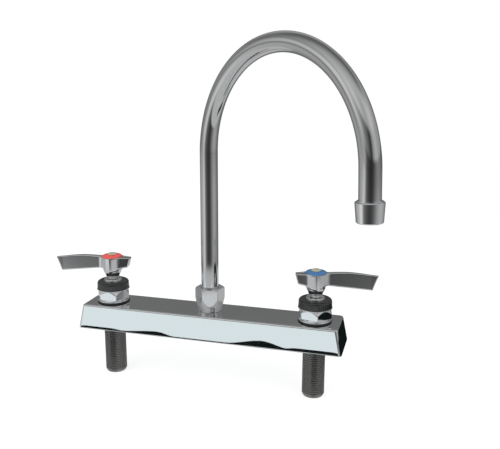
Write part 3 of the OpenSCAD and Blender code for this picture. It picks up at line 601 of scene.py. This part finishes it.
# Bonnets. A forged hexagon under a round rim holds each valve down; its corners are turned off above
# and below, which leaves a curved line on every flat. Turned, milled and plated.
hex_corner_r, hex_h, hex_rim_r, hex_rim_h, bonnet_bore_r = 16.5, 9.6, 15.9, 1.0, 9.55
cone_foot_r, cone_foot_slope, cone_top_r, cone_top_slope = 15.9, 1.0, 14.2, 0.62
bonnet_turns = {"hot": -56, "cold": -73}
hex_steps = 216


def milled(angle, corner_r, turn_deg, corner_round=0.012):
    """Radius of a hexagon with softened corners, at each angle."""
    flat_r = corner_r * cos(pi / 6)
    off = (angle - radians(turn_deg)) % (pi / 3) - pi / 6
    edge = np.abs(np.abs(off) - pi / 6)
    ease = np.maximum(0, corner_round * 4 - edge) ** 2 / (corner_round * 8) * 0.55
    return flat_r / np.cos(np.abs(off) - ease * 0.5) - ease * corner_r * 0.35


def softer_of(first, second, ease):
    """The smaller of two radii, with a small round where they cross."""
    h = np.clip(0.5 + 0.5 * (second - first) / ease, 0, 1)
    return second * (1 - h) + first * h - ease * h * (1 - h)


def hexagon_row(corner_r, turn_deg, cone_r, level, h, edge, ease):
    """The rule for the radius at one level of a hexagon of height h: its flats where they lie inside
    the cone, drawn in over the last bit, the edge, at foot and top."""
    near_edge = max(0, edge - level, edge - (h - level)) / edge
    return lambda angle: (softer_of(milled(angle, corner_r, turn_deg), np.full_like(angle, cone_r), ease)
                          - 0.25 * near_edge ** 2)


def bonnet_hexagon(turn_deg):
    """Flats between two turned cones, with a bore, and a round rim on top."""
    h = hex_h - hex_rim_h
    levels = np.r_[np.linspace(0, 0.3, 4), np.linspace(0.3, h - 0.3, 34), np.linspace(h - 0.3, h, 4)]
    outline = [(bonnet_bore_r, hex_z)]
    for level in np.unique(levels):
        cone_r = min(cone_foot_r + cone_foot_slope * level, cone_top_r + cone_top_slope * (h - level))
        rule = hexagon_row(hex_corner_r, turn_deg, cone_r, level, h, 0.25, 0.18)
        outline.append((rule, hex_z + level))
    outline += hex_rim[1:] + [(bonnet_bore_r, cap_z)]
    return turned(outline, steps=hex_steps, ring=True)


cap_z = hex_z + hex_h
rim_foot = cap_z - hex_rim_h
hex_rim = eased([(13.2, rim_foot, 0), (hex_rim_r, rim_foot, 0.3), (hex_rim_r, cap_z, 0.4),
                 (13.2, cap_z, 0)])
for side, x in valves:
    verts, faces = bonnet_hexagon(bonnet_turns[side])
    bonnet = shaped(side + "_bonnet_hexagon", verts + (x, 0, 0), faces)
    fitted(polished(bonnet, 40), "body", "chrome_trim", trim_chrome, side + "_bonnet")

# Bonnet caps. Black plastic, moulded, with fine ribs round the side for the fingers and a smooth
# rolled shoulder; each is pressed over its bonnet.
cap_r, cap_h, cap_edge_r = 15.4, 7.7, 2.6
cap_top, cap_bore_r, cap_floor = cap_z + cap_h, 7.45, cap_z + 5.0
rib_count, rib_depth = 48, 0.36
black_plastic = moulded("black_cap_plastic", (0.010, 0.010, 0.010), 0.16, 0.26, 500.0, 0.8)


def ribbed(depth_share):
    """The rule for the radius round the ribbed side, with the ribs at a share of their depth."""
    return lambda angle: cap_r - rib_depth * depth_share * (0.5 - 0.5 * np.cos(rib_count * angle)) ** 0.6


cap_outline = [(13.1, cap_z), (14.9, cap_z), (lambda a: ribbed(0.6)(a) - 0.15, cap_z + 0.08)]
cap_outline += [(ribbed(min(1, 0.6 + h)), cap_z + h) for h in (0.35, 0.8, 2.0, 3.4, 4.2)]
cap_outline += [(ribbed(share), cap_z + h) for share, h in ((0.7, 4.6), (0.25, 4.9), (0, 5.1))]
for a in np.linspace(12, 90, 9):
    cap_outline.append((cap_r - cap_edge_r * (1 - cos(radians(a))),
                        cap_top - cap_edge_r * (1 - sin(radians(a)))))
cap_outline += [(9.2, cap_top), (8.9, cap_top - 0.1), (cap_bore_r, cap_top - 0.1),
                (cap_bore_r, cap_floor), (13.1, cap_floor)]
cap_mesh = turned(cap_outline, steps=rib_count * 8, ring=True)
for side, x in valves:
    cap = shaped(side + "_ribbed_cap", cap_mesh[0] + (x, 0, 0), cap_mesh[1])
    fitted(polished(cap, 60), "body", "black_plastic", black_plastic, side + "_bonnet_cap")

# Lock rings. A thin plated brass ring, dished towards the stem, is screwed down on top of each cap and
# holds it.
lock_z = cap_top
lock_ring = turned(eased([(cap_bore_r, lock_z - 0.1, 0), (8.85, lock_z - 0.1, 0),
                          (8.85, lock_z + 1.0, 0.4), (8.2, lock_z + 1.05, 0.25),
                          (7.5, lock_z + 0.72, 0.3), (6.5, lock_z + 1.5, 0.2), (6.1, lock_z + 1.5, 0.1),
                          (6.1, lock_z + 1.05, 0), (cap_bore_r, lock_z + 1.05, 0)]),
                   steps=120, ring=True)
for side, x in valves:
    ring = shaped(side + "_cap_lock_ring", lock_ring[0] + (x, 0, 0), lock_ring[1])
    fitted(polished(ring, 40), "body", "chrome_trim", trim_chrome, side + "_lock_ring")

# Lever handles. Each is one polished, plated casting: a hub on a cone and a neck, a blade that leaves
# the hub by a wedge, thins to a plate and leans back at its tip, and a short tail behind. Each is
# turned a little off the casting's line.
lever_z, lever_h = 46.9, 22.2
lever_top = lever_z + lever_h
hub_r, lever_neck_r, neck_top, cone_top = 9.5, 5.8, 2.4, 6.9
hub_rises, hub_radii = (0, 1.0, 2.0, 7.4, 9.6, lever_h), (5.6, 5.6, 5.9, 8.5, 9.2, 9.5)
blade_l, blade_root_h, blade_tip_h, blade_tip_lean, blade_half = 57.0, 9.8, 13.6, 5.6, 1.4
blade_taper, root_wedge, tip_drop, lever_draft = 2.2, 2.0, 1.5, 0.05
blade_crown, blade_droop, blade_camber = 1.5, 1.3, 0.035
tail_l, tail_lean, tail_h, tail_half = 19.0, 2.6, 9.6, 3.4
tail_flare, tail_drop, tail_dip, tail_camber = 5.6, 3.6, 0.4, 0.02
edge_round, foot_round, tail_top_round, hub_round, hub_fillet, joint_ease = 1.1, 1.2, 1.0, 0.5, 1.8, 0.3
lever_turns = {"hot": 10, "cold": 12}
grain_size = 0.4
probe, draw_rounds, draw_reach, least_slope = 0.02, 14, 0.6, 0.3


def soft_max(first, second, ease):
    """The larger of two heights, with a round where they cross."""
    h = np.clip(0.5 - 0.5 * (second - first) / ease, 0, 1)
    return second * (1 - h) + first * h + ease * h * (1 - h)


def soft_min(first, second, ease):
    return -soft_max(-first, -second, ease)


def lever_skin(p):
    """Height above the lever's skin in millimetres, below 0 inside it, with the blade along +X."""
    x, y, z = p[:, 0], np.abs(p[:, 1]), p[:, 2] - lever_z
    depth = lever_h - z
    off_hub = np.hypot(x, y) - np.interp(z, hub_rises, hub_radii)
    hub = soft_max(off_hub, np.maximum(-z, -depth), hub_round)

    wedge = root_wedge * (1 - np.clip((x - 8) / 5, 0, 1)) ** 2
    side = blade_half + blade_taper * (1 - np.clip(x / 50, 0, 1)) + wedge + lever_draft * depth
    top = (blade_crown * np.sin(pi * np.clip(x / blade_l, 0, 1))
           - blade_droop * soft_rise(x, 26, blade_l) - blade_camber * y ** 2)
    foot = blade_root_h + (blade_tip_h + tip_drop - blade_root_h) * x / (blade_l - blade_tip_lean)
    tip = blade_l - blade_tip_lean * np.clip((depth - 1.0) / blade_tip_h, 0, 1) ** 0.8
    blade = soft_max(soft_max(y - side, -depth - top, edge_round), depth - foot, foot_round)
    blade = soft_max(soft_max(blade, x - tip, edge_round), -x, joint_ease)

    inward = np.clip(1 + x / tail_l, 0, 1)
    tail_side = tail_half + tail_flare * inward ** 1.2 + lever_draft * depth
    tail_foot = tail_h + tail_drop * inward ** 1.5
    tail_top = tail_dip - depth - tail_camber * y ** 2
    tail = soft_max(y - tail_side, soft_max(tail_top, depth - tail_foot, tail_top_round), foot_round)
    tail_end = tail_l - tail_lean * np.clip(depth / tail_h, 0, 1)
    tail = soft_max(soft_max(tail, -x - tail_end, edge_round), x, joint_ease)
    return soft_min(hub, np.minimum(blade, tail), hub_fillet)


def draw_onto_skin(mesh):
    """Moves the mesh's points along the slope of lever_skin, a few times, until they lie on the skin."""
    p = np.empty(len(mesh.vertices) * 3)
    mesh.vertices.foreach_get("co", p)
    p = p.reshape(-1, 3) / mm
    for _ in range(draw_rounds):
        height = np.clip(lever_skin(p), -draw_reach, draw_reach)
        slope = np.stack([(lever_skin(p + probe * axis) - lever_skin(p - probe * axis)) / (2 * probe)
                          for axis in np.eye(3)], axis=1)
        p -= (height / np.maximum((slope ** 2).sum(1), least_slope))[:, None] * slope
    mesh.vertices.foreach_set("co", (p * mm).ravel())
    mesh.update()


def cast_lever(name):
    """The lever's skin: blocks laid over each other, turned to fine grain and drawn onto the skin."""
    blocks = [turned([(lever_neck_r, lever_z), (lever_neck_r, lever_z + neck_top),
                      (hub_r, lever_z + cone_top), (hub_r, lever_top)])]
    blade_plan = [(0, -5.5), (12, -3.8), (blade_l - 1, -blade_half),
                  (blade_l - 1, blade_half), (12, 3.8), (0, 5.5)]
    blade_foot = (blade_root_h, 10.8, blade_tip_h, blade_tip_h, 10.8, blade_root_h)
    tail_plan = [(-tail_l + 0.5, -tail_half), (0, -8.6), (0, 8.6), (-tail_l + 0.5, tail_half)]
    tail_foot = (tail_h, 12.8, 12.8, tail_h)
    for plan, foot in ((blade_plan, blade_foot), (tail_plan, tail_foot)):
        blocks.append(stack_of([[(x, y, lever_top - depth) for (x, y), depth in zip(plan, foot)],
                                [(x, y, lever_top - 0.4) for x, y in plan]]))
    verts, faces = [], []
    for block_verts, block_faces in blocks:
        base = sum(len(v) for v in verts)
        verts.append(np.asarray(block_verts, float))
        faces += [tuple(v + base for v in face) for face in block_faces]
    piece = shaped(name, np.vstack(verts), faces)
    for _ in range(2):
        grain = piece.modifiers.new("grain", "REMESH")
        grain.mode, grain.voxel_size = "VOXEL", grain_size * mm
        settle(piece)
        draw_onto_skin(piece.data)
    return piece


lever_chrome = chrome_plate("lever_chrome", (0.72, 0.73, 0.74), 0.06, 0.10, 0.002, 18)
for side, x in valves:
    lever = cast_lever(side + "_lever_casting")
    facing = 180 if side == "hot" else 0
    lever.data.transform(Matrix.Translation((x * mm, 0, 0)) @
                         Matrix.Rotation(radians(facing + lever_turns[side]), 4, "Z"))
    lever.data.shade_smooth()
    fitted(lever, side + "_handle", "chrome_casting", lever_chrome, side + "_lever")

# Index rings. A dished plastic ring on each lever's hub, moulded in red for hot and in blue for cold.
# The handle screw clamps it.
index_z, index_h, index_bore_r = lever_top, 2.6, 2.5
index_ring = turned(eased([(index_bore_r, index_z, 0), (9.3, index_z, 0.3), (9.7, index_z + 1.1, 0.4),
                           (8.9, index_z + 1.7, 0.5), (5.4, index_z + index_h, 0.4),
                           (4.9, index_z + 2.5, 0), (index_bore_r, index_z + 2.5, 0)]),
                    steps=120, ring=True)
hot_red = moulded("hot_red_plastic", (0.74, 0.085, 0.075), 0.22, 0.34, 300.0, 0.5)
cold_blue = moulded("cold_blue_plastic", (0.046, 0.15, 0.34), 0.22, 0.34, 300.0, 0.5)
index_finish = {"hot": ("hot_red", hot_red), "cold": ("cold_blue", cold_blue)}
for side, x in valves:
    ring = shaped(side + "_index_button", index_ring[0] + (x, 0, 0), index_ring[1])
    slot, colour = index_finish[side]
    fitted(polished(ring, 40), side + "_handle", slot, colour, side + "_index_ring")

# Handle screws. A domed steel screw with a cross recess goes through each index ring and lever, and
# holds them down on the stem.
screw_z, screw_head_r, screw_head_h, screw_r = lever_top + index_h, 4.7, 1.5, 2.1
recess_turns = (25, 115)
# Half length, half width and height of a recess bar at its floor and above the head.
recess_bar = ((1.3, 0.55, screw_z + 0.1), (3.5, 0.9, screw_z + 2))


def swung(points, turn_deg):
    """Points turned about Z."""
    a = radians(turn_deg)
    return points @ np.array([[cos(a), sin(a), 0], [-sin(a), cos(a), 0], [0, 0, 1]])


dome = [(screw_r, screw_z - 16), (screw_r, screw_z), (4.4, screw_z), (screw_head_r, screw_z + 0.25)]
for t in np.linspace(0.08, 0.97, 12):
    dome.append((screw_head_r * cos(t * pi / 2), screw_z + 0.3 + (screw_head_h - 0.3) * sin(t * pi / 2)))
screw_steel = dark_metal("screw_steel", (0.80, 0.79, 0.60), 0.30, 0.42, 500.0, 0.6)
for side, x in valves:
    verts, faces = turned(dome, steps=72)
    screw = shaped(side + "_cross_screw", verts + (x, 0, 0), faces)
    recess = []
    for turn in recess_turns:
        bar = [(sx * half_l, sy * half_w, z) for half_l, half_w, z in recess_bar for sx, sy in square]
        bar = swung(np.array(bar), turn) + (x, 0, 0)
        recess.append(shaped("recess", *stack_of([bar[:4], bar[4:]])))
    cut(screw, *recess)
    fitted(polished(screw, 35), side + "_handle", "screw_steel", screw_steel, side + "_lever_screw")

# Spout joint. A brass bush brazed on the tube's foot turns in the casting on two O-rings, under a
# white plastic glide ring; they are the plain solids with their own finishes.
white_plastic = moulded("white_acetal", (0.86, 0.86, 0.82), 0.35, 0.5, 500.0, 0.4)
dressed(valve_brass, "spout_bush")
dressed(seal_rubber, "spout_bush_orings")
dressed(white_plastic, "spout_glide_ring")

# Spout nut. A tall plated hexagon with a long tapered foot and a wrench notch holds the spout down
# and lets it swing.
nut_corner_r, nut_foot_r, nut_h, nut_taper_h, nut_turn = 14.2, 10.6, 23.0, 13.5, 18
nut_bore_r, nut_thread_r, nut_thread_z = 8.31, 10.15, 17.46
notch_turn, notch_half, notch_h, notch_out, notch_in = 12, 2.1, 6.0, -13.0, -8.7
nut_outline = [(nut_bore_r, nut_thread_z), (nut_thread_r, nut_thread_z), (nut_thread_r, body_h),
               (10.3, body_h)]
levels = np.r_[0, 0.15, 0.4, np.linspace(0.8, nut_h - 3, 34), np.linspace(nut_h - 3, nut_h, 14)]
for level in np.unique(levels):
    cone_r = min(nut_foot_r + (nut_corner_r + 0.1 - nut_foot_r) * level / nut_taper_h,
                 nut_corner_r - 1.1 + 1.1 * (nut_h - level))
    nut_outline.append((hexagon_row(nut_corner_r, nut_turn, cone_r, level, nut_h, 0.3, 0.3),
                        body_h + level))
nut_outline += [(8.9, body_h + nut_h), (nut_bore_r, body_h + nut_h - 0.5)]
nut = shaped("spout_hex_nut", *turned(nut_outline, steps=hex_steps, ring=True))
notch = [(sx * notch_half, y, z) for z in (body_h - 1, body_h + notch_h)
         for sx, y in ((-1, notch_out), (1, notch_out), (1, notch_in), (-1, notch_in))]
notch = swung(np.array(notch), nut_turn + notch_turn)
cut(nut, shaped("notch", *stack_of([notch[:4], notch[4:]])))
nut_chrome = chrome_plate("nut_chrome", (0.56, 0.56, 0.56), 0.08, 0.16, 0.014, 5, 0.7)
fitted(polished(nut, 40), "body", "chrome_trim", nut_chrome, "spout_nut")

# Gooseneck. One length of plated brass tube, bent round a former to a little under a half turn and
# free to swing at its foot; the bend draws its diameter in by a hair.
tube_r, tube_bore_r = 8.25, 7.05
tube_foot, riser_h, bend_r, bend_deg, leg_l = 10.56, 175.0, 93.6, 177.5, 26.5
bend_draw, bend_ease = 0.13, 0.08
swing_deg = 55.6
out_x, out_y = sin(radians(swing_deg)), -cos(radians(swing_deg))
sideways = np.array([-out_y, out_x, 0])


def spout_point(reach, z):
    """The point of the spout's own plane at a distance from the riser and a height."""
    return np.array([reach * out_x, reach * out_y, z])


def swept_tube():
    """The tube's outside and bore, swept up the riser, round the bend and down the short leg."""
    stations = [(0.0, z, 0.0, 0.0) for z in (tube_foot, 40, 80, 120, 150, riser_h)]
    for t in np.linspace(0, 1, 121)[1:]:
        a = radians(bend_deg) * t
        stations.append((bend_r * (1 - cos(a)), riser_h + bend_r * sin(a), a,
                         bend_draw * soft_rise(min(t, 1 - t), 0, bend_ease)))
    reach, z, a, _ = stations[-1]
    stations += [(reach + sin(a) * s, z + cos(a) * s, a, 0.0) for s in (leg_l * 0.5, leg_l)]
    angle = np.arange(96) * 2 * pi / 96
    rows = []
    for bore in (False, True):
        for reach, z, a, drawn in (stations[::-1] if bore else stations):
            r = (tube_bore_r if bore else tube_r) - drawn
            across = np.array([out_x * cos(a), out_y * cos(a), -sin(a)])
            circle = np.outer(np.cos(angle), across) + np.outer(np.sin(angle), sideways)
            rows.append(spout_point(reach, z) + r * circle)
    rows.append(rows[0])
    return stack_of(rows, capped=False)


tube_chrome = chrome_plate("tube_chrome", (0.64, 0.645, 0.65), 0.05, 0.09, 0.0015, 30)
tube = shaped("gooseneck_tube", *swept_tube())
fitted(polished(tube, 40), "spout", "chrome_tube", tube_chrome, "spout_tube")

# Aerator. A plated shell is screwed on the collar at the tube's end; a rubber washer, a white flow
# straightener and a fine steel screen lie in it. All but the shell are the plain solids.
shell_from, aerator_l, thread_bore_r, lip_bore_r = 22.5, 15.4, 9.45, 7.65
end_a = radians(bend_deg)
outlet = spout_point(bend_r * (1 - cos(end_a)) + sin(end_a) * shell_from,
                     riser_h + bend_r * sin(end_a) + cos(end_a) * shell_from)
flow = np.array([out_x * sin(end_a), out_y * sin(end_a), cos(end_a)])
across = np.cross(sideways, flow)


def at_outlet(verts):
    """Sets a piece that was turned about Z at the outlet, with Z down along the flow."""
    x, y, z = verts.T
    return outlet + np.outer(x, across) + np.outer(y, sideways) + np.outer(z, flow)


shell = turned(eased([(thread_bore_r, 0, 0), (10.3, 0, 0.3), (10.9, 0.7, 0.4),
                      (9.9, aerator_l - 0.7, 0.4), (9.3, aerator_l, 0.3), (lip_bore_r, aerator_l, 0.2),
                      (lip_bore_r, aerator_l - 1.6, 0), (8.85, aerator_l - 1.6, 0), (8.85, 8.0, 0),
                      (thread_bore_r, 8.0, 0)]),
               steps=120, ring=True)
shell = shaped("aerator_housing", at_outlet(shell[0]), shell[1])
fitted(polished(shell, 40), "spout", "chrome_trim", trim_chrome, "aerator_shell")
screen_wire = dark_metal("screen_wire", (0.52, 0.53, 0.54), 0.3, 0.45, 700.0)
dressed(trim_chrome, "outlet_collar")
dressed(seal_rubber, "aerator_washer")
dressed(white_plastic, "aerator_straightener")
dressed(screen_wire, "aerator_screen")
